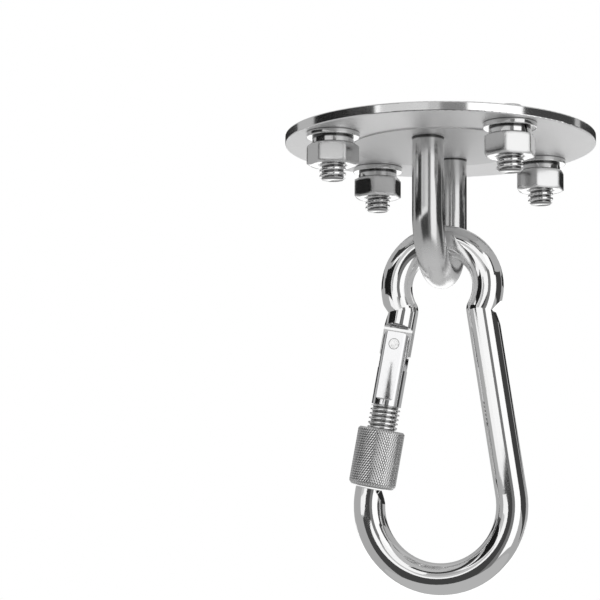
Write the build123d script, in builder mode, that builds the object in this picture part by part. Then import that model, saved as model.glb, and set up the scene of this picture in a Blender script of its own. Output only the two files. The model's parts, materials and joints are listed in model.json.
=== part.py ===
# Ceiling hook: a round plate on four studs, a bent rod eye welded through it, and a screw-lock carabiner.
# Millimetres. The origin is the centre of the plate's ceiling face and +Z points up into the ceiling.
# The eye lies in the YZ plane. The carabiner hangs in the XZ plane, with its gate on the -X side.
import os
from math import asin, atan2, cos, degrees, hypot, radians, sin, sqrt

from build123d import *

# Ceiling plate
plate_d = 120.0
plate_thickness = 3.7
plate_edge = 0.5
boss_to_washer = 3.1
boss_step = 0.5
boss_dome = 0.9
stud_inset = 12.5
stud_count = 4
first_stud_angle = 225.0
stud_hole_d = 11.0

# Fasteners, size M10
stud_d = 9.9
stud_shank_d = 9.2
stud_above = 2.8
stud_below_nut = 5.4
stud_chamfer = 0.9
flat_washer_d = 20.0
flat_washer_thickness = 2.0
flat_washer_play = 0.3
spring_washer_d = 15.6
spring_washer_thickness = 2.6
spring_washer_play = 0.15
spring_washer_gap = 1.2
spring_washer_slant = 20.0
nut_across_flats = 17.0
nut_height = 8.0
nut_play = 0.05
nut_chamfer_angle = 28.0
nut_turns = (-76.0, -60.0, -61.0, -60.0)
spring_washer_turns = (205.0, 330.0, 120.0, 40.0)

# Bent rod eye
eye_rod_d = 12.0
eye_leg_spacing = 42.0
eye_drop = 53.0
eye_hole_play = 0.15
eye_head_d = 15.0
eye_head_depth = 1.6

# Carabiner body
rod_d = 12.0
swing_gap = 0.3
top_loop_r = 17.9
top_loop_shift = 0.8
hook_r = 27.6
loop_to_hook = 83.3
neck_angle = 30.0
neck_fold_depth = 1.6
neck_fold_down = 5.5
neck_lip_angle = 14.5

# Hinge of the gate
neck_to_pin = 13.2
tongue_thickness = 4.0
tongue_below_pin = 4.6
tongue_corner = 0.8
side_play = 0.2
shoulder_play = 0.3
shoulder_flare = 1.7
pin_d = 4.2
pin_play = 0.06
pin_seat_play = 0.02

# Gate
gate_d = 11.4
gate_length = 54.8
ear_width = 10.0
ear_above_pin = 4.6
ear_round = 2.2
ear_neck = 9.6
slot_below_tongue = 3.6
flat_to_flat = 9.3
flat_below_pin = 21.6
flat_round = 1.5
gate_end_chamfer = 0.6
bore_d = 4.4
bore_depth = 26.0

# Plunger and spring in the gate
plunger_d = 4.0
plunger_length = 9.0
plunger_gap = 0.3
spring_d = 3.8
spring_wire_d = 0.55
spring_turns = 7
spring_end_gap = 0.05

# Locking sleeve
sleeve_d = 18.0
sleeve_length = 22.4
sleeve_past_gate = 0.5
sleeve_play = 0.1
sleeve_mouth_play = 0.3
sleeve_mouth_depth = 8.0
sleeve_rim_flat = 0.7
sleeve_top_chamfer = 0.7

# Nose of the body, under the sleeve
nose_gap = 0.25
nose_bevel_in = 2.8
nose_bevel_drop = 4.7

# Places worked out from the sizes above
stud_circle_d = plate_d - 2 * stud_inset
boss_d = stud_circle_d - flat_washer_d - 2 * boss_to_washer
plate_under = -plate_thickness
flat_washer_z = plate_under
spring_washer_z = flat_washer_z - flat_washer_thickness
nut_z = spring_washer_z - spring_washer_thickness
stud_end_z = nut_z - nut_height - stud_below_nut
eye_leg_end_z = -(eye_drop - eye_leg_spacing / 2)
eye_rod_top_z = -eye_drop + eye_rod_d / 2

# The body's top loop hangs on the bottom of the eye, with a small gap that lets it swing
top_loop_z = eye_rod_top_z + swing_gap - (top_loop_r - rod_d / 2)
hook_z = top_loop_z - loop_to_hook


def neck_point(side):
    """Where the top loop turns sharply down into a leg; side is -1 for the gate, 1 for the back."""
    x = top_loop_shift + side * top_loop_r * cos(radians(neck_angle))
    z = top_loop_z - top_loop_r * sin(radians(neck_angle))
    return x, z


def leg_tilt(side):
    """Angle in degrees by which a leg that is tangent to the hook leans outward."""
    x, z = neck_point(side)
    return degrees(asin(hook_r / hypot(x, z - hook_z)) - atan2(abs(x), z - hook_z))


def leg_foot(side):
    """The point where a leg runs into the hook's arc."""
    tilt = radians(leg_tilt(side))
    return side * hook_r * cos(tilt), hook_z + hook_r * sin(tilt)


gate_tilt = radians(leg_tilt(-1))
neck_x, neck_z = neck_point(-1)
pin_x = neck_x - neck_to_pin * sin(gate_tilt)
pin_z = neck_z - neck_to_pin * cos(gate_tilt)
foot_x, foot_z = leg_foot(-1)
pin_to_foot = hypot(foot_x - pin_x, foot_z - pin_z)

# Frame of the gate: origin on the hinge pin, local z down along the gate, local x towards the hook's inside
gate_frame = Plane(
    origin=(pin_x, 0, pin_z),
    x_dir=(cos(gate_tilt), 0, -sin(gate_tilt)),
    z_dir=(-sin(gate_tilt), 0, -cos(gate_tilt)),
)
# The same frame, turned so that a sketch lies in the hook's plane: sketch x is local x, sketch y is local z
gate_side = Plane(
    origin=(pin_x, 0, pin_z),
    x_dir=gate_frame.x_dir,
    z_dir=gate_frame.x_dir.cross(gate_frame.z_dir),
)

# The same frame seen from the inside of the hook: sketch x is the object's Y, sketch y is local z
gate_across = Plane(origin=(pin_x, 0, pin_z), x_dir=(0, 1, 0), z_dir=Vector(0, 1, 0).cross(gate_frame.z_dir))

sleeve_mouth = gate_length + sleeve_past_gate
sleeve_start = sleeve_mouth - sleeve_length
mouth_r = rod_d / 2 + sleeve_mouth_play
sleeve_round = sleeve_d / 2 - mouth_r - sleeve_rim_flat
mouth_corner = hypot(sleeve_mouth, sleeve_d / 2 - sleeve_round)
nose_r = mouth_corner + nose_gap
ear_swing_r = hypot(ear_width / 2 - ear_round, ear_above_pin - ear_round) + ear_round
shoulder_z = ear_swing_r + shoulder_play
slot_depth = tongue_below_pin + slot_below_tongue
flat_width = sqrt(gate_d**2 - flat_to_flat**2) + flat_round / 2
plunger_tip = tongue_below_pin + plunger_gap
spring_top = plunger_tip + plunger_length + spring_end_gap


def stud_place(index, z):
    """Plane on the axis of one stud at height z, facing down."""
    angle = radians(first_stud_angle + index * 360.0 / stud_count)
    radius = stud_circle_d / 2
    return Plane(origin=(radius * cos(angle), radius * sin(angle), z), x_dir=(1, 0, 0), z_dir=(0, 0, -1))


def rims(part, radius):
    """The circular edges of this radius, lowest first."""
    circles = part.edges().filter_by(GeomType.CIRCLE).sort_by(Axis.Z)
    return circles.filter_by(lambda e: abs(e.radius - radius) < 0.01)


# Ceiling plate: turned disc with a slightly domed boss, four stud holes and two countersunk leg holes
with BuildPart() as mounting_plate:
    with BuildSketch(Plane.XZ):
        with BuildLine():
            boss_r = boss_d / 2
            boss_z = plate_under - boss_step
            Polyline((0, boss_z - boss_dome), (0, 0), (plate_d / 2, 0), (plate_d / 2, plate_under))
            Line((plate_d / 2, plate_under), (boss_r, plate_under))
            Line((boss_r, plate_under), (boss_r, boss_z))
            ThreePointArc((boss_r, boss_z), (boss_r / 2, boss_z - boss_dome * 0.75), (0, boss_z - boss_dome))
        make_face()
    revolve(axis=Axis.Z)
    fillet(rims(mounting_plate, plate_d / 2), radius=plate_edge)
    with BuildSketch(Plane.XY):
        with PolarLocations(stud_circle_d / 2, stud_count, start_angle=first_stud_angle):
            Circle(stud_hole_d / 2)
        with GridLocations(0, eye_leg_spacing, 1, 2):
            Circle(eye_rod_d / 2 + eye_hole_play)
    extrude(amount=-(plate_thickness + boss_step + boss_dome), mode=Mode.SUBTRACT)
    with BuildSketch(Plane.XY):
        with GridLocations(0, eye_leg_spacing, 1, 2):
            Circle(eye_head_d / 2 + eye_hole_play)
    with BuildSketch(Plane.XY.offset(-eye_head_depth)):
        with GridLocations(0, eye_leg_spacing, 1, 2):
            Circle(eye_rod_d / 2 + eye_hole_play)
    for leg in (0, 1):
        ends = [mounting_plate.pending_faces[leg], mounting_plate.pending_faces[leg + 2]]
        loft(sections=ends, mode=Mode.SUBTRACT)
    mounting_plate.pending_faces.clear()
mounting_plate.part.label = "mounting_plate"

# Bent rod eye: one rod, both ends spread into countersunk heads that are flush with the ceiling face
with BuildPart() as hanger_eye:
    leg_y = eye_leg_spacing / 2
    with BuildLine() as eye_path:
        Line((0, -leg_y, 0), (0, -leg_y, eye_leg_end_z))
        ThreePointArc((0, -leg_y, eye_leg_end_z), (0, 0, -eye_drop), (0, leg_y, eye_leg_end_z))
        Line((0, leg_y, eye_leg_end_z), (0, leg_y, 0))
    with BuildSketch(Plane.XY):
        with Locations((0, -leg_y)):
            Circle(eye_rod_d / 2)
    sweep(path=eye_path.line)
    for y in (-leg_y, leg_y):
        with BuildSketch(Plane((0, y, 0), x_dir=(1, 0, 0), z_dir=(0, 1, 0))):
            with BuildLine():
                Polyline(
                    (0, 0),
                    (eye_head_d / 2, 0),
                    (eye_rod_d / 2, eye_head_depth),
                    (0, eye_head_depth),
                    close=True,
                )
            make_face()
        revolve(axis=Axis((0, y, 0), (0, 0, 1)))
hanger_eye.part.label = "hanger_eye"

single_parts = [mounting_plate, hanger_eye]


def make_stud(index):
    """Threaded rod with a plain reduced end above the plate; the thread's own form is left out."""
    with BuildPart() as stud:
        with BuildSketch(stud_place(index, 0)):
            Circle(stud_d / 2)
        extrude(amount=-stud_end_z)
        chamfer(stud.edges().sort_by(Axis.Z)[0], length=stud_chamfer)
        with BuildSketch(stud_place(index, 0)):
            Circle(stud_shank_d / 2)
        extrude(amount=-stud_above)
        chamfer(stud.edges().sort_by(Axis.Z)[-1], length=stud_chamfer / 2)
    stud.part.label = f"stud_{index + 1}"
    return stud


def make_flat_washer(index):
    """Plain ring between the plate and the spring washer."""
    with BuildPart() as washer:
        with BuildSketch(stud_place(index, flat_washer_z)):
            Circle(flat_washer_d / 2)
            Circle(stud_d / 2 + flat_washer_play, mode=Mode.SUBTRACT)
        extrude(amount=flat_washer_thickness)
        chamfer(rims(washer, flat_washer_d / 2)[0], length=flat_washer_thickness / 8)
    washer.part.label = f"flat_washer_{index + 1}"
    return washer


def make_spring_washer(index):
    """Square-section ring, cut through at a slant."""
    seat = stud_place(index, spring_washer_z)
    ring_width = (spring_washer_d - stud_d) / 2
    with BuildPart() as washer:
        with BuildSketch(seat):
            Circle(spring_washer_d / 2)
            Circle(stud_d / 2 + spring_washer_play, mode=Mode.SUBTRACT)
        extrude(amount=spring_washer_thickness)
        turn = radians(spring_washer_turns[index])
        radial = Vector(cos(turn), sin(turn), 0)
        across = Vector(-sin(turn), cos(turn), 0)
        middle = seat.origin - Vector(0, 0, spring_washer_thickness / 2)
        slant = radians(spring_washer_slant)
        cut_face = Plane(
            origin=middle + radial * (stud_d / 2 - spring_washer_play),
            x_dir=across * cos(slant) + Vector(0, 0, sin(slant)),
            z_dir=radial,
        )
        with BuildSketch(cut_face):
            Rectangle(spring_washer_gap, spring_washer_thickness * 2)
        extrude(amount=ring_width * 2, mode=Mode.SUBTRACT)
    washer.part.label = f"spring_washer_{index + 1}"
    return washer


def make_nut(index):
    """Hexagon nut with both faces chamfered to a circle."""
    corner_r = nut_across_flats / sqrt(3)
    flat_r = nut_across_flats / 2
    drop = (corner_r - flat_r) * sin(radians(nut_chamfer_angle)) / cos(radians(nut_chamfer_angle))
    seat = stud_place(index, nut_z)
    with BuildPart() as nut:
        with BuildSketch(seat):
            RegularPolygon(flat_r, 6, major_radius=False, rotation=30 - nut_turns[index])
        extrude(amount=nut_height)
        with BuildSketch(Plane(seat.origin, x_dir=(1, 0, 0), z_dir=(0, 1, 0))):
            with BuildLine():
                Polyline(
                    (0, 0),
                    (flat_r, 0),
                    (corner_r, drop),
                    (corner_r, nut_height - drop),
                    (flat_r, nut_height),
                    (0, nut_height),
                    close=True,
                )
            make_face()
        revolve(axis=Axis(seat.origin, (0, 0, 1)), mode=Mode.INTERSECT)
        with BuildSketch(seat):
            Circle(stud_d / 2 + nut_play)
        extrude(amount=nut_height, mode=Mode.SUBTRACT)
    nut.part.label = f"hex_nut_{index + 1}"
    return nut


fasteners = [
    make(index)
    for make in (make_stud, make_flat_washer, make_spring_washer, make_nut)
    for index in range(stud_count)
]

# Carabiner body: one rod, bent into the top loop, the back leg, the hook and the short nose
back_neck = neck_point(1)
back_foot = leg_foot(1)
loop_top = (top_loop_shift, top_loop_z + top_loop_r)
nose_end_x = foot_x + (pin_to_foot - nose_r / 2) * sin(gate_tilt)
nose_end_z = foot_z + (pin_to_foot - nose_r / 2) * cos(gate_tilt)


def at(point):
    """A point of the hook's own plane, in the object's frame."""
    return point[0], 0, point[1]


def fold_outline(side):
    """Corners of the notch at one neck, in the hook's plane: lip on the loop, bottom, and end on the leg."""
    neck = Vector(*neck_point(side))
    tilt = radians(leg_tilt(side))
    down_leg = Vector(side * sin(tilt), -cos(tilt))
    half_bend = (radians(neck_angle) + tilt) / 2
    outward = Vector(side * cos(tilt), sin(tilt)).rotate(Axis.Z, -side * degrees(half_bend))
    meeting = neck + outward * (rod_d / 2 / cos(half_bend))
    lip_angle = radians(neck_lip_angle)
    lip_r = top_loop_r + rod_d / 2
    lip = Vector(top_loop_shift + side * lip_r * cos(lip_angle), top_loop_z - lip_r * sin(lip_angle))
    bottom = meeting - outward * neck_fold_depth
    leg_end = meeting + down_leg * neck_fold_down
    clear = outward * rod_d / 2
    return [(v.X, v.Y) for v in (lip + clear, lip, bottom, leg_end, leg_end + clear)]


with BuildPart() as carabiner_body:
    with BuildSketch(gate_frame.offset(tongue_below_pin)):
        Circle(rod_d / 2)
    extrude(amount=-(tongue_below_pin + neck_to_pin))
    with BuildLine() as loop_path:
        ThreePointArc(at((neck_x, neck_z)), at(loop_top), at(back_neck))
    with BuildSketch(Plane(loop_path.line @ 0, z_dir=loop_path.line % 0)):
        Circle(rod_d / 2)
    sweep(path=loop_path.line)
    with BuildLine() as hook_path:
        Line(at(back_neck), at(back_foot))
        ThreePointArc(at(back_foot), at((0, hook_z - hook_r)), at((foot_x, foot_z)))
        Line(at((foot_x, foot_z)), at((nose_end_x, nose_end_z)))
    with BuildSketch(Plane(hook_path.line @ 0, z_dir=hook_path.line % 0)):
        Circle(rod_d / 2)
    sweep(path=hook_path.line)
    with Locations(at((neck_x, neck_z)), at(back_neck)):
        Sphere(rod_d / 2)

    # Folds: the tight bend at each neck leaves a notch across the outer side of the rod
    for side in (-1, 1):
        with BuildSketch(Plane.XZ):
            with BuildLine():
                Polyline(*fold_outline(side), close=True)
            make_face()
        extrude(amount=rod_d, both=True, mode=Mode.SUBTRACT)

    # Tongue: both sides milled away below a sloping shoulder that the ears of the gate swing past
    with BuildSketch(gate_across):
        for side in (-1, 1):
            with BuildLine():
                Polyline(
                    (side * tongue_thickness / 2, -shoulder_z),
                    (side * rod_d / 2, -shoulder_z - shoulder_flare),
                    (side * rod_d, -shoulder_z - shoulder_flare),
                    (side * rod_d, tongue_below_pin * 2),
                    (side * tongue_thickness / 2, tongue_below_pin * 2),
                    close=True,
                )
            make_face()
    extrude(amount=rod_d, both=True, mode=Mode.SUBTRACT)
    with BuildSketch(gate_side):
        with Locations((-rod_d / 2, tongue_below_pin), (rod_d / 2, tongue_below_pin)):
            Rectangle(tongue_corner * sqrt(2), tongue_corner * sqrt(2), rotation=45)
    extrude(amount=rod_d, both=True, mode=Mode.SUBTRACT)
    with BuildSketch(gate_side):
        Circle(pin_d / 2 + pin_play)
    extrude(amount=rod_d, both=True, mode=Mode.SUBTRACT)

    # Nose: an arc about the hinge pin that the sleeve's mouth swings past, beveled on the inner side
    with BuildSketch(gate_side):
        with Locations((0, nose_r / 2)):
            Rectangle(rod_d * 2, nose_r, align=(Align.CENTER, Align.CENTER))
        Circle(nose_r, mode=Mode.INTERSECT)
        with Locations((0, nose_r * 0.75)):
            Rectangle(rod_d * 2, nose_r / 2, align=(Align.CENTER, Align.CENTER), mode=Mode.INTERSECT)
    extrude(amount=rod_d, both=True, mode=Mode.SUBTRACT)
    with BuildSketch(gate_side):
        with BuildLine():
            Polyline(
                (nose_bevel_in, nose_r - 1),
                (nose_bevel_in, nose_r),
                (rod_d / 2, nose_r + nose_bevel_drop),
                (rod_d, nose_r + nose_bevel_drop),
                (rod_d, nose_r - 1),
                close=True,
            )
        make_face()
    extrude(amount=rod_d, both=True, mode=Mode.SUBTRACT)
carabiner_body.part.label = "carabiner_body"
single_parts.append(carabiner_body)

# Gate: round bar with two rounded ears, milled flats, a slot for the tongue and a bore for the spring
with BuildPart() as gate:
    with BuildSketch(gate_frame.offset(ear_neck)):
        Circle(gate_d / 2)
    extrude(amount=gate_length - ear_neck)
    chamfer(gate.faces().sort_by(Axis.Z)[0].edges(), length=gate_end_chamfer)
    with BuildSketch(gate_side) as ears:
        with Locations((0, (ear_neck - ear_above_pin) / 2)):
            Rectangle(ear_width, ear_neck + ear_above_pin)
        fillet(ears.vertices().group_by(Axis.Y)[0], radius=ear_round)
    extrude(amount=gate_d / 2, both=True)
    with BuildSketch(gate_frame.offset(-gate_d)):
        Circle(gate_d / 2)
    extrude(amount=gate_length + gate_d, mode=Mode.INTERSECT)
    for side in (-1, 1):
        with BuildSketch(gate_side.offset(side * flat_to_flat / 2)) as flat:
            with Locations((0, (flat_below_pin - gate_d) / 2)):
                Rectangle(flat_width, flat_below_pin + gate_d)
            fillet(flat.vertices().group_by(Axis.Y)[-1], radius=flat_round)
        extrude(amount=side * gate_d, mode=Mode.SUBTRACT)
    with BuildSketch(gate_side):
        with Locations((0, slot_depth / 2)):
            Rectangle(gate_d * 2, slot_depth)
        with Locations((0, -ear_width / 2)):
            Rectangle(gate_d * 2, ear_width)
    extrude(amount=tongue_thickness / 2 + side_play, both=True, mode=Mode.SUBTRACT)
    with BuildSketch(gate_side):
        Circle(pin_d / 2 + pin_seat_play)
    extrude(amount=gate_d, both=True, mode=Mode.SUBTRACT)
    with BuildSketch(gate_frame.offset(slot_depth)):
        Circle(bore_d / 2)
    extrude(amount=bore_depth - slot_depth, mode=Mode.SUBTRACT)
gate.part.label = "gate"
single_parts.append(gate)

# Rivet: the hinge pin, flush with the flats of the gate
with BuildPart() as gate_rivet:
    with BuildSketch(gate_side):
        Circle(pin_d / 2)
    extrude(amount=flat_to_flat / 2, both=True)
gate_rivet.part.label = "gate_rivet"
single_parts.append(gate_rivet)

# Plunger: pressed by the spring against the square end of the tongue, so that the gate closes by itself
with BuildPart() as gate_plunger:
    with BuildSketch(gate_frame.offset(plunger_tip + plunger_d / 2)):
        Circle(plunger_d / 2)
    extrude(amount=plunger_length - plunger_d / 2)
    with Locations(gate_frame.offset(plunger_tip + plunger_d / 2)):
        Sphere(plunger_d / 2)
gate_plunger.part.label = "gate_plunger"
single_parts.append(gate_plunger)

# Spring: a helix between the plunger and the floor of the bore
with BuildPart() as gate_spring:
    coil_r = (spring_d - spring_wire_d) / 2
    coil_height = bore_depth - spring_end_gap - spring_top - spring_wire_d
    coil_base = gate_frame.offset(spring_top + spring_wire_d / 2)
    with BuildLine() as coil:
        Helix(
            pitch=coil_height / spring_turns,
            height=coil_height,
            radius=coil_r,
            center=coil_base.origin,
            direction=coil_base.z_dir,
        )
    with BuildSketch(Plane(coil.line @ 0, z_dir=coil.line % 0)):
        Circle(spring_wire_d / 2)
    sweep(path=coil.line)
gate_spring.part.label = "gate_spring"
single_parts.append(gate_spring)

# Locking sleeve: turned tube whose counterbored mouth screws down over the nose
with BuildPart() as lock_sleeve:
    with BuildSketch(gate_side):
        with BuildLine():
            bore_r = gate_d / 2 + sleeve_play
            Polyline(
                (bore_r, sleeve_start),
                (sleeve_d / 2, sleeve_start),
                (sleeve_d / 2, sleeve_mouth),
                (mouth_r, sleeve_mouth),
                (mouth_r, sleeve_mouth - sleeve_mouth_depth),
                (bore_r, sleeve_mouth - sleeve_mouth_depth),
                close=True,
            )
        make_face()
    revolve(axis=Axis(gate_frame.origin, gate_frame.z_dir))
    fillet(rims(lock_sleeve, sleeve_d / 2)[0], radius=sleeve_round)
    chamfer(rims(lock_sleeve, sleeve_d / 2)[-1], length=sleeve_top_chamfer)
lock_sleeve.part.label = "lock_sleeve"
single_parts.append(lock_sleeve)

os.makedirs("parts", exist_ok=True)
for made in single_parts + fasteners:
    export_step(made.part, f"parts/{made.part.label}.step")
    print(made.part.label, "volume", round(made.part.volume), "mm3")
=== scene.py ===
# %% [markdown]
# # A ceiling hook in polished steel
#
# This lesson dresses a machined part that is already modelled: a round ceiling plate held by four
# studs, a bent rod eye welded through it, and a carabiner that hangs in the eye. The part's solids
# are loaded as a fixed frame. What this file adds, such as the threads, the knurl of the sleeve and
# the finish of each metal, takes its place from that frame, or from a value named beside it.

import json
import math

import bmesh
import bpy
import numpy as np
from mathutils import Matrix, Vector


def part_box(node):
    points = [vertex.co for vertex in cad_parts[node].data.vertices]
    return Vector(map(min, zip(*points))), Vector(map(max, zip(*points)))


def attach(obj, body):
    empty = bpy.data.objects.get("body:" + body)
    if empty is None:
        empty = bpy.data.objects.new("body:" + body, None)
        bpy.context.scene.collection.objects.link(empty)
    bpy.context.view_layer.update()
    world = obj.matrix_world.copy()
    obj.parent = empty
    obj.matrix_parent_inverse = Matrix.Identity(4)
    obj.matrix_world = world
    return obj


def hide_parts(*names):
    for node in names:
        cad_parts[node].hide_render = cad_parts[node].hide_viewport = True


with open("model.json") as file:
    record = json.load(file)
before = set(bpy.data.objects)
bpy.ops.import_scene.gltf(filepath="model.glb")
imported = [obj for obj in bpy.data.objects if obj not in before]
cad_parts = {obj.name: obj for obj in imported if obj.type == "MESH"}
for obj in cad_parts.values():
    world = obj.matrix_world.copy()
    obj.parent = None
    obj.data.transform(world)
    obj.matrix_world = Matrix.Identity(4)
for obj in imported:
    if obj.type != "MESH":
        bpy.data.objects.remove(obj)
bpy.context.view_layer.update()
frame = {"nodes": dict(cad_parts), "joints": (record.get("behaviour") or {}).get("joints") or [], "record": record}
nodes = frame["nodes"]
joints = {joint["name"]: joint for joint in frame["joints"]}
print("frame loaded:", len(nodes), "nodes")

MM = 0.001

# %% [markdown]
# ## The camera
#
# The picture looks up at the plate from about ten degrees below it, through a long lens. The place
# of the camera was worked out from the plate's outline, the bolts and the nuts, so here it is only a
# point, three angles and a focal length. A matrix made of the camera's own right, up and backward
# directions turns it without any guessing about the order of rotations.

# %% Camera
camera_place = Vector((152.2, -683.9, -157.0)) * MM
camera_azimuth = math.radians(12.52)
camera_yaw = math.radians(-2.54)
camera_pitch = math.radians(7.59)
camera_roll = math.radians(0.32)
sensor_width = 36.0
focal_length = 110.5
camera_shift_x = -0.1
farthest_seen = 50.0


def make_camera():
    """A long lens below the plate, looking slightly up."""
    data = bpy.data.cameras.new("camera")
    data.sensor_width = sensor_width
    data.lens = focal_length
    data.shift_x = camera_shift_x
    data.clip_end = farthest_seen
    camera = bpy.data.objects.new("camera", data)
    bpy.context.scene.collection.objects.link(camera)
    turn = camera_yaw - camera_azimuth
    flat = math.cos(camera_pitch)
    forward = Vector((math.sin(turn) * flat, math.cos(turn) * flat, math.sin(camera_pitch)))
    right = Vector((math.cos(turn), -math.sin(turn), 0.0))
    up = right.cross(forward)
    tilted_right = right * math.cos(camera_roll) + up * math.sin(camera_roll)
    tilted_up = up * math.cos(camera_roll) - right * math.sin(camera_roll)
    axes = Matrix((tilted_right, tilted_up, -forward)).transposed()
    camera.matrix_world = Matrix.Translation(camera_place) @ axes.to_4x4()
    bpy.context.scene.camera = camera


make_camera()
print("camera:", focal_length, "mm lens")

# %% [markdown]
# ## Small tools
#
# Three helpers are used all through the lesson. The first turns a shade of grey in the picture into
# an amount of light. The second makes a material that only glows, and the third makes an object from
# points and faces. That object can also remember how much painted shade each of its points gets,
# mostly by how deep in a groove it lies, so that a metal can be painted darker there.

# %% Light, glow and objects


def linear(shown):
    """The light that a picture shows as this shade of grey, from 0 to 1."""
    return shown / 12.92 if shown <= 0.04045 else ((shown + 0.055) / 1.055) ** 2.4


def emission(name, strength):
    """A material that only glows."""
    made = bpy.data.materials.new(name)
    made.use_nodes = True
    tree = made.node_tree
    tree.nodes.clear()
    glow = tree.nodes.new("ShaderNodeEmission")
    glow.inputs["Strength"].default_value = strength
    output = tree.nodes.new("ShaderNodeOutputMaterial")
    tree.links.new(glow.outputs["Emission"], output.inputs["Surface"])
    return made


def mesh_object(name, points, faces, groove=None):
    """A new smooth object; groove says how much painted shade each point gets, from 0 to 1, mostly by how deep in
    a groove it lies.
    """
    mesh = bpy.data.meshes.new(name)
    mesh.from_pydata(points, [], faces)
    if groove is not None:
        depths = mesh.attributes.new("groove", "FLOAT", "POINT")
        depths.data.foreach_set("value", groove)
    mesh.shade_smooth()
    made = bpy.data.objects.new(name, mesh)
    bpy.context.scene.collection.objects.link(made)
    return made


# %% [markdown]
# ## The studio
#
# Polished metal has almost no colour of its own: what we see in it is the room. So the room is
# designed first. Bright softboxes stand left and right of the camera, darker flags stand between
# and beside them, and grey screens stand behind, which draw the dark and grey lines along each rod.
# Each card is a curved patch on a large circle around the hook. The camera doesn't see the cards,
# but reflections do.

# %% Cards around the hook
hook_middle = Vector((0.0, 0.0, -0.09))
mirror_share = 0.9
card_steps = 16


def around(azimuth, elevation, radius, middle=hook_middle):
    """A point seen from a middle; azimuth 0 is where the camera stands, and 90 is on its right."""
    a = math.radians(azimuth)
    e = math.radians(elevation)
    front = Vector((math.sin(camera_azimuth), -math.cos(camera_azimuth), 0.0))
    right = Vector((math.cos(camera_azimuth), math.sin(camera_azimuth), 0.0))
    flat = front * math.cos(a) + right * math.sin(a)
    return middle + (flat * math.cos(e) + Vector((0, 0, math.sin(e)))) * radius


def show_in_mirrors(card, strength):
    """Makes a card glow for reflections only, and puts it on the stage."""
    card.data.materials.append(emission(card.name, strength))
    card.visible_camera = False
    card.visible_diffuse = False
    card.visible_shadow = False


def make_card(name, azimuths, left_edge, right_edge, distance, shown, middle=hook_middle):
    """A curved card that a mirror shows as this grey; each edge is its lowest and highest elevation."""
    points = []
    for row in range(card_steps + 1):
        for column in range(card_steps + 1):
            across = column / card_steps
            upward = row / card_steps
            low = left_edge[0] + (right_edge[0] - left_edge[0]) * across
            high = left_edge[1] + (right_edge[1] - left_edge[1]) * across
            azimuth = azimuths[0] + (azimuths[1] - azimuths[0]) * across
            points.append(around(azimuth, low + (high - low) * upward, distance, middle))
    faces = []
    for row in range(card_steps):
        for column in range(card_steps):
            first = row * (card_steps + 1) + column
            above = first + card_steps + 1
            faces.append((first, first + 1, above + 1, above))
    show_in_mirrors(mesh_object(name, points, faces), linear(shown) / mirror_share)


# name, azimuths from left to right, elevations at the left edge and at the right edge, distance, grey
cards = (
    ("room", (-180, 180), (-40, 46), (-40, 46), 2.4, 0.65),
    ("room_ceiling", (-180, 180), (46, 90), (46, 90), 2.4, 0.70),
    ("room_floor", (-180, 180), (-90, -40), (-90, -40), 2.4, 0.69),
    ("softbox_back", (150, 210), (-27, -5), (-27, -5), 2.0, 1.08),
    ("shade_back_left", (-172, -128), (8, 16), (8, 16), 2.0, 0.16),
    ("shade_side_left", (-104, -78), (8, 16), (8, 16), 2.0, 0.25),
    ("shade_back_right", (122, 172), (8, 16), (8, 16), 2.0, 0.16),
    ("softbox_left", (-68, -40), (-5, 35), (-3, 35), 1.6, 0.95),
    ("softbox_left_strip", (-40, 0), (-4, 7), (4, 15), 1.6, 0.97),
    ("softbox_left_tip", (-21, -3), (5, 13), (5, 13), 1.59, 0.97),
    ("flag_left", (-43, -8), (11, 20), (13, 20), 1.58, 0.75),
    ("grey_left", (-70, -50), (3, 10), (3, 10), 1.58, 0.74),
    ("flag_left_low", (-56, 0), (-40, -5), (-40, 5), 1.58, 0.25),
    ("softbox_high", (-22, 40), (20, 44), (20, 44), 1.6, 0.96),
    ("flag_centre", (0, 19), (-42, 20), (-42, 20), 1.56, 0.45),
    ("softbox_right", (19, 61), (-34, 42), (-34, 42), 1.6, 1.0),
    ("flag_right", (61, 114), (-2, 24), (-26, 22), 1.59, 0.24),
    ("flag_right_high", (49, 64), (19, 46), (19, 40), 1.58, 0.27),
)
for name, azimuths, left_edge, right_edge, distance, shown in cards:
    make_card(name, azimuths, left_edge, right_edge, distance, shown)
print("studio cards:", len(cards))

# %% [markdown]
# Two more flags stand on the left and nearer than the studio's circle. Each is placed round the
# piece that it is meant for: the first darkens the left side of the bent eye, and the second gives
# the carabiner's small loop its dark arc. The gate's flat shows one dark streak low down, which is
# the mirror image of a thin flag in front of it.

# %% Flags for the eye, the loop and the gate
near_distance = 0.4
eye_leg = Vector((0.0, -0.021, -0.018))
loop_middle = Vector((0.0, 0.0, -0.076))
make_card("flag_eye", (-100, -46), (-4, 17), (-4, 17), near_distance, 0.1, middle=eye_leg)
make_card("flag_loop", (-98, -8), (30, 42), (30, 42), near_distance, 0.2, middle=loop_middle)

streak_top = Vector((-27.4, -42.6, -83.5)) * MM
streak_foot = Vector((-29.6, -42.7, -100.5)) * MM
streak_top_width = 0.3 * MM
streak_foot_width = 3.0 * MM
streak_grey = 0.05


def make_streak_flag():
    """A thin dark flag, narrow at its top, which the gate's flat mirrors as a streak."""
    side = Vector((math.cos(camera_azimuth), math.sin(camera_azimuth), 0.0))
    at_top = side * streak_top_width / 2
    at_foot = side * streak_foot_width / 2
    points = [streak_top - at_top, streak_top + at_top, streak_foot + at_foot, streak_foot - at_foot]
    show_in_mirrors(mesh_object("streak_flag", points, [(0, 1, 2, 3)]), linear(streak_grey))


make_streak_flag()
print("near flags: flag_eye, flag_loop, streak_flag")

# %% [markdown]
# The hook hangs high above a plain pale floor, and the world behind it is white. The world has two
# shaders: what the camera and the mirrors see is a fixed white, and everything else gets plain soft
# light. One broad sun, above and left of the camera, gives the floor the hook's shadow.

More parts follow.
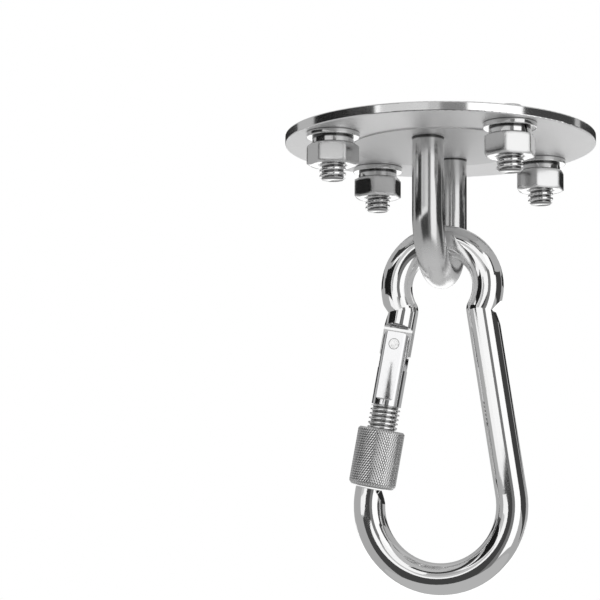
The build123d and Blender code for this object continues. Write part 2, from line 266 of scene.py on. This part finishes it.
# %% Floor, world and lamp
floor_height = -0.62
floor_half = 4.0
floor_grey = 0.9
floor_roughness = 0.9
world_light = 0.72
sun_strength = 1.5
sun_width = math.radians(12)
sun_azimuth = -30
sun_elevation = 50
sun_distance = 1.2


def make_floor():
    """A pale plane below the hook, which takes its shadow."""
    h = floor_half
    z = floor_height
    floor = mesh_object("floor", [(-h, -h, z), (h, -h, z), (h, h, z), (-h, h, z)], [(0, 1, 2, 3)])
    made = bpy.data.materials.new("floor")
    made.use_nodes = True
    shader = made.node_tree.nodes["Principled BSDF"]
    shader.inputs["Base Color"].default_value = (floor_grey, floor_grey, floor_grey, 1.0)
    shader.inputs["Roughness"].default_value = floor_roughness
    floor.data.materials.append(made)
    floor.visible_glossy = False


def background(tree, strength):
    """A plain white background of this strength."""
    made = tree.nodes.new("ShaderNodeBackground")
    made.inputs["Color"].default_value = (1.0, 1.0, 1.0, 1.0)
    made.inputs["Strength"].default_value = strength
    return made.outputs["Background"]


def larger(tree, first, second):
    """A node that gives the larger of two values."""
    made = tree.nodes.new("ShaderNodeMath")
    made.operation = "MAXIMUM"
    tree.links.new(first, made.inputs[0])
    tree.links.new(second, made.inputs[1])
    return made.outputs[0]


def make_world():
    """White for the camera and in mirrors, and soft even light for everything else."""
    world = bpy.data.worlds.new("studio")
    world.use_nodes = True
    tree = world.node_tree
    tree.nodes.clear()
    ray = tree.nodes.new("ShaderNodeLightPath").outputs
    seen = larger(tree, ray["Is Camera Ray"], ray["Is Glossy Ray"])
    seen = larger(tree, seen, ray["Is Transmission Ray"])
    mix = tree.nodes.new("ShaderNodeMixShader")
    output = tree.nodes.new("ShaderNodeOutputWorld")
    tree.links.new(seen, mix.inputs["Fac"])
    tree.links.new(background(tree, world_light), mix.inputs[1])
    tree.links.new(background(tree, 1.0), mix.inputs[2])
    tree.links.new(mix.outputs["Shader"], output.inputs["Surface"])
    bpy.context.scene.world = world


def make_sun():
    """One sun with soft edges, high on the camera's left."""
    data = bpy.data.lights.new("sun", "SUN")
    data.energy = sun_strength
    data.angle = sun_width
    sun = bpy.data.objects.new("sun", data)
    bpy.context.scene.collection.objects.link(sun)
    sun.location = around(sun_azimuth, sun_elevation, sun_distance)
    sun.rotation_euler = (hook_middle - sun.location).to_track_quat("-Z", "Y").to_euler()
    sun.visible_glossy = False


make_floor()
make_world()
make_sun()
bpy.context.scene.view_settings.view_transform = "Standard"
print("floor, white world and sun")

# %% [markdown]
# ## Metals
#
# All the pieces are the same stainless steel, and they differ in how they were finished: the rods
# are polished, the plate is satin, and the nuts and washers are bright with rounded corners. One
# function makes them all. A finish has a grey, a roughness that a noise varies a little, and a very
# fine bump, so that a reflection never looks drawn with a ruler. Its edge rounds the look of sharp
# corners, and its painted groove shade is a darker grey painted at the bottom of a groove, in place
# of the shade that falls there.

# %% Steel finishes
blue_tint = 1.01
noise_detail = 3.0
bump_height = 0.1 * MM
bevel_samples = 6


def steel(name, grey, roughness, vary=0.03, grain=900.0, bump=0.02, edge=0.0, painted_groove_shade=None):
    """A bare metal whose surface wanders slightly."""
    made = bpy.data.materials.new(name)
    made.use_nodes = True
    tree = made.node_tree
    shader = tree.nodes["Principled BSDF"]
    shader.inputs["Base Color"].default_value = (grey, grey, grey * blue_tint, 1.0)
    shader.inputs["Metallic"].default_value = 1.0
    place = tree.nodes.new("ShaderNodeTexCoord")
    noise = tree.nodes.new("ShaderNodeTexNoise")
    noise.inputs["Scale"].default_value = grain
    noise.inputs["Detail"].default_value = noise_detail
    ramp = tree.nodes.new("ShaderNodeMapRange")
    ramp.inputs["To Min"].default_value = max(0.0, roughness - vary)
    ramp.inputs["To Max"].default_value = roughness + vary
    raised = tree.nodes.new("ShaderNodeBump")
    raised.inputs["Strength"].default_value = bump
    raised.inputs["Distance"].default_value = bump_height
    tree.links.new(place.outputs["Object"], noise.inputs["Vector"])
    tree.links.new(noise.outputs["Fac"], ramp.inputs["Value"])
    tree.links.new(ramp.outputs["Result"], shader.inputs["Roughness"])
    tree.links.new(noise.outputs["Fac"], raised.inputs["Height"])
    tree.links.new(raised.outputs["Normal"], shader.inputs["Normal"])
    # Painted shade in grooves: the groove attribute turns the grey towards the painted groove shade.
    if painted_groove_shade is not None:
        groove = tree.nodes.new("ShaderNodeAttribute")
        groove.attribute_name = "groove"
        shade = tree.nodes.new("ShaderNodeMix")
        shade.data_type = "RGBA"
        shade.inputs["A"].default_value = (grey, grey, grey, 1.0)
        shade.inputs["B"].default_value = (painted_groove_shade, painted_groove_shade, painted_groove_shade, 1.0)
        tree.links.new(groove.outputs["Fac"], shade.inputs["Factor"])
        tree.links.new(shade.outputs["Result"], shader.inputs["Base Color"])
    if edge > 0:
        bevel = tree.nodes.new("ShaderNodeBevel")
        bevel.samples = bevel_samples
        bevel.inputs["Radius"].default_value = edge
        tree.links.new(bevel.outputs["Normal"], raised.inputs["Normal"])
    return made


rod_grey = 0.9
rivet_grey = 0.95

# name, grey, roughness, and what differs from a plain finish
recipes = (
    ("satin_plate", 0.93, 0.55, {"grain": 600.0}),
    ("polished_rod", rod_grey, 0.05, {"vary": 0.02, "grain": 300.0, "bump": 0.0}),
    ("eye_rod", 0.88, 0.18, {"grain": 400.0, "bump": 0.01}),
    ("polished_gate", 0.9, 0.08, {"grain": 500.0}),
    ("gate_thread", 0.95, 0.12, {"grain": 500.0, "painted_groove_shade": 0.3}),
    ("rivet_head", rivet_grey, 0.12, {"vary": 0.06, "grain": 1400.0, "bump": 0.6}),
    ("knurled_sleeve", 0.97, 0.1, {"grain": 800.0, "painted_groove_shade": 0.16}),
    ("nut_steel", 0.8, 0.12, {"vary": 0.04, "grain": 700.0, "bump": 0.03, "edge": 1.8 * MM}),
    ("washer_steel", 0.8, 0.12, {"grain": 700.0, "bump": 0.03, "edge": 0.5 * MM}),
    ("spring_washer_steel", 0.9, 0.1, {"grain": 700.0, "bump": 0.03, "edge": 0.5 * MM}),
    ("stud_steel", 0.97, 0.12, {"vary": 0.04, "painted_groove_shade": 0.22}),
    ("spring_wire", 0.6, 0.3, {}),
)
finishes = {name: steel(name, grey, roughness, **more) for name, grey, roughness, more in recipes}
print("finishes:", ", ".join(finishes))

# %% [markdown]
# ## Finishes that change with place
#
# On a real part one finish rarely covers a whole piece. The plate's rim is polished while its face
# is satin, and the eye's bend is duller than its legs. A material can do this too: it reads where on
# the object a point lies, and a short ramp turns that into a roughness or a tone. Some of these tones
# are painted shade: the plate's raised disc, the eye's legs, the seam round the rivet, and the lines
# where two pieces are clamped together.

# %% Nodes that read a place
blur = 0.1 * MM


def nodes_of(finish):
    """The node tree of a finish, and its shader."""
    tree = finishes[finish].node_tree
    return tree, tree.nodes["Principled BSDF"]


def object_point(tree):
    """Where a point lies on its object."""
    return tree.nodes.new("ShaderNodeTexCoord").outputs["Object"]


def object_height(tree):
    """How high a point lies on its object."""
    split = tree.nodes.new("ShaderNodeSeparateXYZ")
    tree.links.new(object_point(tree), split.inputs["Vector"])
    return split.outputs["Z"]


def vector_node(tree, operation, first, second=(0.0, 0.0, 0.0)):
    """A node that works on a vector; SUBTRACT and MULTIPLY give a vector, the others a value."""
    made = tree.nodes.new("ShaderNodeVectorMath")
    made.operation = operation
    made.inputs[1].default_value = second
    tree.links.new(first, made.inputs[0])
    return made.outputs["Vector" if operation in ("SUBTRACT", "MULTIPLY") else "Value"]


def ramp_between(tree, value, edges, ends):
    """A node that turns a value into one of two ends, with a soft step between the edges."""
    ramp = tree.nodes.new("ShaderNodeMapRange")
    ramp.interpolation_type = "SMOOTHSTEP"
    ramp.inputs["From Min"].default_value = edges[0]
    ramp.inputs["From Max"].default_value = edges[1]
    ramp.inputs["To Min"].default_value = ends[0]
    ramp.inputs["To Max"].default_value = ends[1]
    tree.links.new(value, ramp.inputs["Value"])
    return ramp.outputs["Result"]


def multiplied(tree, first, second):
    """A node that multiplies two values."""
    product = tree.nodes.new("ShaderNodeMath")
    product.operation = "MULTIPLY"
    tree.links.new(first, product.inputs[0])
    tree.links.new(second, product.inputs[1])
    return product.outputs[0]


def change_roughness(tree, shader, factor):
    """Multiplies the roughness that a finish already has."""
    roughness = shader.inputs["Roughness"]
    tree.links.new(multiplied(tree, roughness.links[0].from_socket, factor), roughness)


# %% [markdown]
# The plate's rim is polished, which only its outermost quarter of a millimetre shows. The raised
# disc in its middle gets painted shade, a colour a little darker than the ring around it, and a plain
# height tells them apart.

# %% The plate's rim and its raised disc
rim_start = 59.75 * MM
rim_polish = 0.2
boss_height = -3.9 * MM
# Painted shade on the raised disc, darker than the ring's grey.
boss_painted_shade = 0.84
ring_tone = 1.0


def finish_plate():
    """Polishes the plate's rim, and paints shade on its raised disc, darker than the ring around it."""
    tree, shader = nodes_of("satin_plate")
    flat = vector_node(tree, "MULTIPLY", object_point(tree), (1.0, 1.0, 0.0))
    from_middle = vector_node(tree, "LENGTH", flat)
    polish = ramp_between(tree, from_middle, (rim_start, rim_start + blur), (1.0, rim_polish))
    change_roughness(tree, shader, polish)
    edges = (boss_height, boss_height + blur)
    tone = ramp_between(tree, object_height(tree), edges, (boss_painted_shade, ring_tone))
    tree.links.new(tone, shader.inputs["Base Color"])


finish_plate()
print("plate: polished rim and darker disc")

# %% [markdown]
# The eye's bend is satin, below its smoother legs, and the legs get painted shade: their colour is
# darker than the bend's. Both change slowly over some centimetres, so that no line shows.

# %% The eye's bend and legs
satin_heights = (-50.0 * MM, -36.0 * MM)
satin_factors = (1.6, 0.9)
# Heights over which the legs' painted shade fades into the bend's grey.
eye_shade_heights = (-54.0 * MM, -40.0 * MM)
eye_bend_tone = 1.0
eye_leg_painted_shade = 0.74


def finish_and_shade_eye():
    """Leaves the eye's bend satin, below its polished legs, which get painted shade as a darker colour."""
    tree, shader = nodes_of("eye_rod")
    change_roughness(tree, shader, ramp_between(tree, object_height(tree), satin_heights, satin_factors))
    tone = ramp_between(tree, object_height(tree), eye_shade_heights, (eye_bend_tone, eye_leg_painted_shade))
    tree.links.new(tone, shader.inputs["Base Color"])


finish_and_shade_eye()
print("eye: satin bend, darker legs")

# %% [markdown]
# Above the gate the carabiner's rod is milled to a ledge and a tongue. The milled faces are found by
# two distances, both measured from the gate's pin: how far along the gate a point lies, and how far
# away it is in all. Another distance from the pin paints shade in the seam round the rivet's head.

# %% The milled ledge and the rivet's seam
pin = Vector(joints["gate_hinge"]["pos_m"])
ledge_above_pin = 5.3 * MM
ledge_reach = 14.0 * MM
ledge_fade = 1.0 * MM
ledge_roughness = 7.0
ledge_tone = 0.8
rivet_seam = 1.85 * MM
rivet_seam_width = 0.15 * MM
# Painted shade in the seam round the rivet's head.
rivet_seam_painted_shade = 0.12


def finish_ledge():
    """Leaves the ledge and the tongue above the gate as milled, satin and a little darker."""
    tree, shader = nodes_of("polished_rod")
    from_pin = vector_node(tree, "SUBTRACT", object_point(tree), pin)
    along = vector_node(tree, "DOT_PRODUCT", from_pin, joints["sleeve_travel"]["axis"])
    distance = vector_node(tree, "LENGTH", from_pin)
    below = ramp_between(tree, along, (-ledge_above_pin, blur - ledge_above_pin), (0.0, 1.0))
    near = ramp_between(tree, distance, (ledge_reach, ledge_reach + ledge_fade), (1.0, 0.0))
    milled = multiplied(tree, below, near)
    change_roughness(tree, shader, ramp_between(tree, milled, (0.0, 1.0), (1.0, ledge_roughness)))
    tone = ramp_between(tree, milled, (0.0, 1.0), (rod_grey, ledge_tone))
    tree.links.new(tone, shader.inputs["Base Color"])


def paint_rivet_seam_shade():
    """Paints shade in the seam round the rivet's head, where it sits in the fork."""
    tree, shader = nodes_of("rivet_head")
    from_pin = vector_node(tree, "SUBTRACT", object_point(tree), pin)
    flat = vector_node(tree, "MULTIPLY", from_pin, (1.0, 0.0, 1.0))
    radius = vector_node(tree, "LENGTH", flat)
    edges = (rivet_seam, rivet_seam + rivet_seam_width)
    tone = ramp_between(tree, radius, edges, (rivet_grey, rivet_seam_painted_shade))
    tree.links.new(tone, shader.inputs["Base Color"])


finish_ledge()
paint_rivet_seam_shade()
print("carabiner: milled ledge and seamed rivet")

# %% [markdown]
# Where washers, nut and plate are clamped together, a thin line of painted shade darkens the colour.
# Each line lies at one height, which is read from the frame for the fasteners. The line of painted
# shade round the eye's legs lies where they enter the plate's raised disc.

# %% Painted shade in the joints between clamped pieces
under_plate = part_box("flat_washer_1")[1].z
under_flat_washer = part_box("flat_washer_1")[0].z
under_spring_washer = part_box("hex_nut_1")[1].z
eye_seam = -5.0 * MM

# finish, height of the joint, where its painted shade starts and stops to fade in millimetres, tone
painted_joint_shades = (
    ("washer_steel", under_plate, (0.1, 0.6), 0.15),
    ("spring_washer_steel", under_flat_washer, (0.4, 1.1), 0.12),
    ("spring_washer_steel", under_spring_washer, (0.05, 0.5), 0.15),
    ("nut_steel", under_spring_washer, (0.0, 0.4), 0.2),
    ("eye_rod", eye_seam, (0.3, 0.9), 0.15),
)


def paint_joint_shade(finish, seam, reach, shade):
    """Paints shade into a finish close to the height where two pieces are clamped together."""
    tree, shader = nodes_of(finish)
    above = tree.nodes.new("ShaderNodeMath")
    above.operation = "SUBTRACT"
    above.inputs[1].default_value = seam
    tree.links.new(object_height(tree), above.inputs[0])
    distance = tree.nodes.new("ShaderNodeMath")
    distance.operation = "ABSOLUTE"
    tree.links.new(above.outputs[0], distance.inputs[0])
    colour = shader.inputs["Base Color"]
    if colour.links:
        darker = ramp_between(tree, distance.outputs[0], reach, (shade, 1.0))
        tone = multiplied(tree, colour.links[0].from_socket, darker)
    else:
        grey = colour.default_value[0]
        tone = ramp_between(tree, distance.outputs[0], reach, (shade, grey))
    tree.links.new(tone, colour)


for finish, seam, reach, shade in painted_joint_shades:
    paint_joint_shade(finish, seam, (reach[0] * MM, reach[1] * MM), shade)
print("dark joints:", len(painted_joint_shades))

# %% [markdown]
# Every solid now gets the finish of its slot. A few pieces differ from the others of their slot: the
# bent eye, the spring washers and the rivet.

# %% Each piece wears its finish


def wear(piece, finish):
    """Gives a piece one finish in every material slot."""
    for place in range(max(1, len(piece.material_slots))):
        if place < len(piece.data.materials):
            piece.data.materials[place] = finishes[finish]
        else:
            piece.data.materials.append(finishes[finish])


fastener_numbers = (1, 2, 3, 4)
node_slots = {part["node"]: part["material_slot"] for part in frame["record"]["subparts"]}
for name, node in nodes.items():
    wear(node, node_slots[name])
wear(nodes["hanger_eye"], "eye_rod")
wear(nodes["gate_rivet"], "rivet_head")
for number in fastener_numbers:
    wear(nodes[f"spring_washer_{number}"], "spring_washer_steel")
print("dressed:", len(nodes), "solids")

# %% [markdown]
# ## Threads
#
# A screw thread is one groove that winds round a bar. On a mesh it is easiest as a lathe: rings of
# points along the bar, where each point's radius depends on how far along the helix it lies. The
# ends are turned down by a chamfer, which is simply the smaller of two radii.

# %% A threaded bar
bar_segments = 72
rows_per_turn = 14
crest_share = 0.3
flank_share = 0.65
thread_sharp = math.radians(50)


def bar_frame(origin, direction):
    """A bar's origin and direction, and two directions square to it, to build rings on."""
    direction = Vector(direction).normalized()
    side = Vector((0.0, 1.0, 0.0)) if abs(direction.y) < 0.9 else Vector((1.0, 0.0, 0.0))
    across = side.cross(direction).normalized()
    return Vector(origin), direction, across, direction.cross(across)


def lathe(place, stations, radius_at, crest=0.0, depth=1.0):
    """Points, faces and groove depths of a closed bar; radius_at gives the radius at each point."""
    origin, direction, across, other = place
    segments = bar_segments
    angles = np.linspace(0.0, 2 * math.pi, segments, endpoint=False)
    points = []
    groove = []
    for station in stations:
        for angle in angles:
            radius = radius_at(station, angle)
            spoke = across * math.cos(angle) + other * math.sin(angle)
            points.append(origin + direction * station + spoke * radius)
            groove.append(min(1.0, max(0.0, (crest - radius) / depth)) ** 2)
    faces = []
    for ring in range(len(stations) - 1):
        for step in range(segments):
            first = ring * segments + step
            second = ring * segments + (step + 1) % segments
            faces.append((first, second, second + segments, first + segments))
    start = len(points)
    points.append(origin + direction * stations[0])
    points.append(origin + direction * stations[-1])
    groove += [0.0, 0.0]
    last = (len(stations) - 1) * segments
    for step in range(segments):
        following = (step + 1) % segments
        faces.append((following, step, start))
        faces.append((last + step, last + following, start + 1))
    return points, faces, groove


def thread_depth_at(turns, depth):
    """Depth below the crest, so many turns along the helix, with round crests and roots."""
    share = abs(2.0 * (turns % 1.0) - 1.0)
    share = min(1.0, max(0.0, (share - crest_share) / flank_share))
    return depth * share * share * (3.0 - 2.0 * share)


def threaded_bar(name, place, length, radius, pitch, depth, chamfers):
    """A bar with a thread over its whole length and a chamfer at each end."""
    stations = np.linspace(0.0, length, int(length / pitch * rows_per_turn) + 1)

    def radius_at(station, angle):
        grooved = radius - thread_depth_at(station / pitch - angle / (2 * math.pi), depth)
        from_start = radius - chamfers[0] + station
        from_end = radius - chamfers[1] + (length - station)
        return min(grooved, from_start, from_end)

    points, faces, groove = lathe(place, stations, radius_at, radius, depth)
    made = mesh_object(name, points, faces, groove=groove)
    made.data.set_sharp_from_angle(angle=thread_sharp)
    return made


# %% [markdown]
# ### The four studs
#
# Each stud carries a coarse rolled thread that shows between the nut and the free end. The new bar
# has the solid stud's own axis, lower end and diameter, all read from the frame, and stands for it.
# Above the plate's top a short plain shank takes over, which is a little thinner.

# %% Studs
stud_pitch = 1.95 * MM
stud_depth = 0.95 * MM
stud_end_chamfer = 1.0 * MM
stud_shank_share = 0.93
stud_shank_chamfer = 0.45 * MM
stud_shank_rings = 9


def dress_stud(number):
    """A threaded rod with a plain shank at its upper end, in place of one stud."""
    lowest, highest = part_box(f"stud_{number}")
    radius = (highest.x - lowest.x) / 2
    middle = (lowest + highest) / 2
    foot = (middle.x, middle.y, 0.0)
    chamfers = (0.0, stud_end_chamfer)
    down = bar_frame(foot, (0, 0, -1))
    name = f"threaded_stud_{number}"
    stud = threaded_bar(name, down, -lowest.z, radius, stud_pitch, stud_depth, chamfers)
    shank_radius = radius * stud_shank_share
    length = highest.z

    def shank_radius_at(station, angle):
        return min(shank_radius, shank_radius - stud_shank_chamfer + (length - station))

    stations = np.linspace(0.0, length, stud_shank_rings)
    points, faces, groove = lathe(bar_frame(foot, (0, 0, 1)), stations, shank_radius_at)
    shank = mesh_object(f"stud_shank_{number}", points, faces, groove=groove)
    for piece in (stud, shank):
        wear(piece, "stud_steel")
        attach(piece, "ceiling_mount")
    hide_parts(f"stud_{number}")
    return stud


studs = [dress_stud(number) for number in fastener_numbers]
print("studs:", len(studs), "with", len(studs[0].data.polygons), "faces each")

# %% [markdown]
# ## The gate
#
# The gate's fork, flats and slot are right in the solid, and only its thread is missing. So its mesh
# is copied and cut off where the thread begins, and a threaded bar takes the place of the rest.

# %% Gate with its thread
gate_axis = Vector(joints["sleeve_travel"]["axis"]).normalized()
gate_thread_start = 23.6 * MM
gate_pitch = 1.7 * MM
gate_depth = 0.95 * MM
gate_chamfers = (0.9 * MM, 0.6 * MM)
gate_overlap = 0.2 * MM
weld_distance = 0.001 * MM
fork_sharp = math.radians(18)
flat_weight = 100


def along_gate(node):
    """How far along the gate a node starts and ends, and its largest radius about the gate's axis."""
    points = np.array([vertex.co for vertex in nodes[node].data.vertices])
    offsets = points - np.array(pin)
    along = offsets @ np.array(gate_axis)
    spread = np.linalg.norm(offsets - np.outer(along, gate_axis), axis=1)
    return along.min(), along.max(), spread.max()


def make_fork():
    """The solid gate's mesh, down to where the thread begins."""
    mesh = nodes["gate"].data.copy()
    cut = bmesh.new()
    cut.from_mesh(mesh)
    bmesh.ops.remove_doubles(cut, verts=cut.verts, dist=weld_distance)
    everything = list(cut.verts) + list(cut.edges) + list(cut.faces)
    middle = pin + gate_axis * gate_thread_start
    bmesh.ops.bisect_plane(cut, geom=everything, plane_co=middle, plane_no=gate_axis, clear_outer=True)
    bmesh.ops.holes_fill(cut, edges=[edge for edge in cut.edges if edge.is_boundary])
    cut.to_mesh(mesh)
    cut.free()
    mesh.shade_smooth()
    mesh.set_sharp_from_angle(angle=fork_sharp)
    fork = bpy.data.objects.new("gate_fork", mesh)
    bpy.context.scene.collection.objects.link(fork)
    flat_normals = fork.modifiers.new("flat_normals", "WEIGHTED_NORMAL")
    flat_normals.keep_sharp = True
    flat_normals.weight = flat_weight
    return fork


def make_gate_thread():
    """The threaded bar below the fork, which starts a little inside it."""
    end, radius = along_gate("gate")[1:]
    place = bar_frame(pin + gate_axis * (gate_thread_start - gate_overlap), gate_axis)
    length = end - gate_thread_start + gate_overlap
    return threaded_bar("gate_thread", place, length, radius, gate_pitch, gate_depth, gate_chamfers)


gate_fork = make_fork()
gate_thread = make_gate_thread()
for piece, finish in ((gate_fork, "polished_gate"), (gate_thread, "gate_thread")):
    wear(piece, finish)
    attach(piece, "gate")
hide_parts("gate")
print("gate thread:", len(gate_thread.data.polygons), "faces")

# %% [markdown]
# ## The knurled sleeve
#
# A knurl is rolled by two wheels that press helical grooves which cross, and leave small diamonds.
# Each family of grooves is a triangle wave in the angle plus or minus the height, and the surface
# is as deep as the deeper of the two. It is real geometry here, since it also shapes the outline.

# %% The knurl and the sleeve's profile
knurl_count = 54
knurl_axial = 1.81 * MM
knurl_depth = 0.12 * MM
knurl_flat = 0.62
knurl_run_out = 0.2 * MM
points_per_diamond = 8
rows_per_diamond = 12
sleeve_round = 2.0 * MM
sleeve_top_chamfer = 0.7 * MM
mouth_step = 0.5 * MM
counterbore = 8.0 * MM


def knurl_at(angle, station):
    """How deep a place lies: 0 on a diamond's top, and 1 at the bottom of a groove."""
    turn = angle * knurl_count / (2 * math.pi)
    height = station / knurl_axial
    one = abs(2.0 * ((turn + height) % 1.0) - 1.0)
    two = abs(2.0 * ((turn - height) % 1.0) - 1.0)
    return max(0.0, (max(one, two) - knurl_flat) / (1.0 - knurl_flat))


def sleeve_rings(start, end, radius, bore, mouth):
    """The rings round the sleeve: how far along the gate, which radius, and how much of the knurl."""
    rings = []
    rows = int((end - start) / knurl_axial * rows_per_diamond)
    for station in np.linspace(start, end, rows):
        base = min(radius, radius - sleeve_top_chamfer + (station - start))
        into_round = station - (end - sleeve_round)
        if into_round > 0:
            base = radius - sleeve_round + math.sqrt(max(0.0, sleeve_round**2 - into_round**2))
        fade = min(1.0, (station - start) / knurl_run_out, (end - station) / knurl_run_out)
        rings.append((station, base, max(0.0, fade)))
    step = end - counterbore
    return rings + [(end, mouth, 0.0), (step, mouth, 0.0), (step, bore, 0.0), (start, bore, 0.0)]


def bore_radius(node):
    """The smallest radius of a node about the gate's axis."""
    offsets = [Vector(vertex.co) - pin for vertex in nodes[node].data.vertices]
    return min((offset - gate_axis * offset.dot(gate_axis)).length for offset in offsets)


# %% [markdown]
# The rings go down the outside, in at the mouth and back up the bore, so the sleeve is one closed
# skin. Its grooves get painted shade at their bottoms, and so do its lower rim and all of its inside.

# %% Sleeve
# Painted shade on the sleeve's lower rim, which fades in over its last millimetre.
rim_painted_shade = 0.6
rim_painted_shade_reach = 1.0 * MM
rim_painted_shade_gain = 1.5
sleeve_sharp = math.radians(30)


def dress_sleeve():
    """A sleeve with a diamond knurl, a chamfered top, a rounded lower rim and an open bore."""
    start, end, radius = along_gate("lock_sleeve")
    bore = bore_radius("lock_sleeve")
    mouth = bore + mouth_step
    rings = sleeve_rings(start, end, radius, bore, mouth)
    segments = knurl_count * points_per_diamond
    angles = np.linspace(0.0, 2 * math.pi, segments, endpoint=False)
    origin, direction, across, other = bar_frame(pin, gate_axis)
    points = []
    painted_shade_amounts = []
    for station, base, fade in rings:
        # Besides the knurl's grooves, the lower rim and the whole bore get painted shade.
        near_rim = max(0.0, (station - end) / rim_painted_shade_reach + 1.0)
        painted_edge_shade = 1.0 if base <= mouth else rim_painted_shade * min(1.0, near_rim * rim_painted_shade_gain)
        for angle in angles:
            groove = knurl_at(angle, station)
            painted_shade_amounts.append(max(groove * fade, painted_edge_shade))
            reach = base - knurl_depth * fade * groove
            spoke = across * math.cos(angle) + other * math.sin(angle)
            points.append(origin + direction * station + spoke * reach)
    faces = []
    for ring in range(len(rings)):
        here = ring * segments
        following = (ring + 1) % len(rings) * segments
        for step in range(segments):
            beside = (step + 1) % segments
            faces.append((here + step, here + beside, following + beside, following + step))
    sleeve = mesh_object("knurled_sleeve", points, faces, groove=painted_shade_amounts)
    sleeve.data.set_sharp_from_angle(angle=sleeve_sharp)
    wear(sleeve, "knurled_sleeve")
    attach(sleeve, "sleeve")
    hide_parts("lock_sleeve")
    return sleeve


sleeve = dress_sleeve()
print("sleeve:", len(sleeve.data.polygons), "faces")
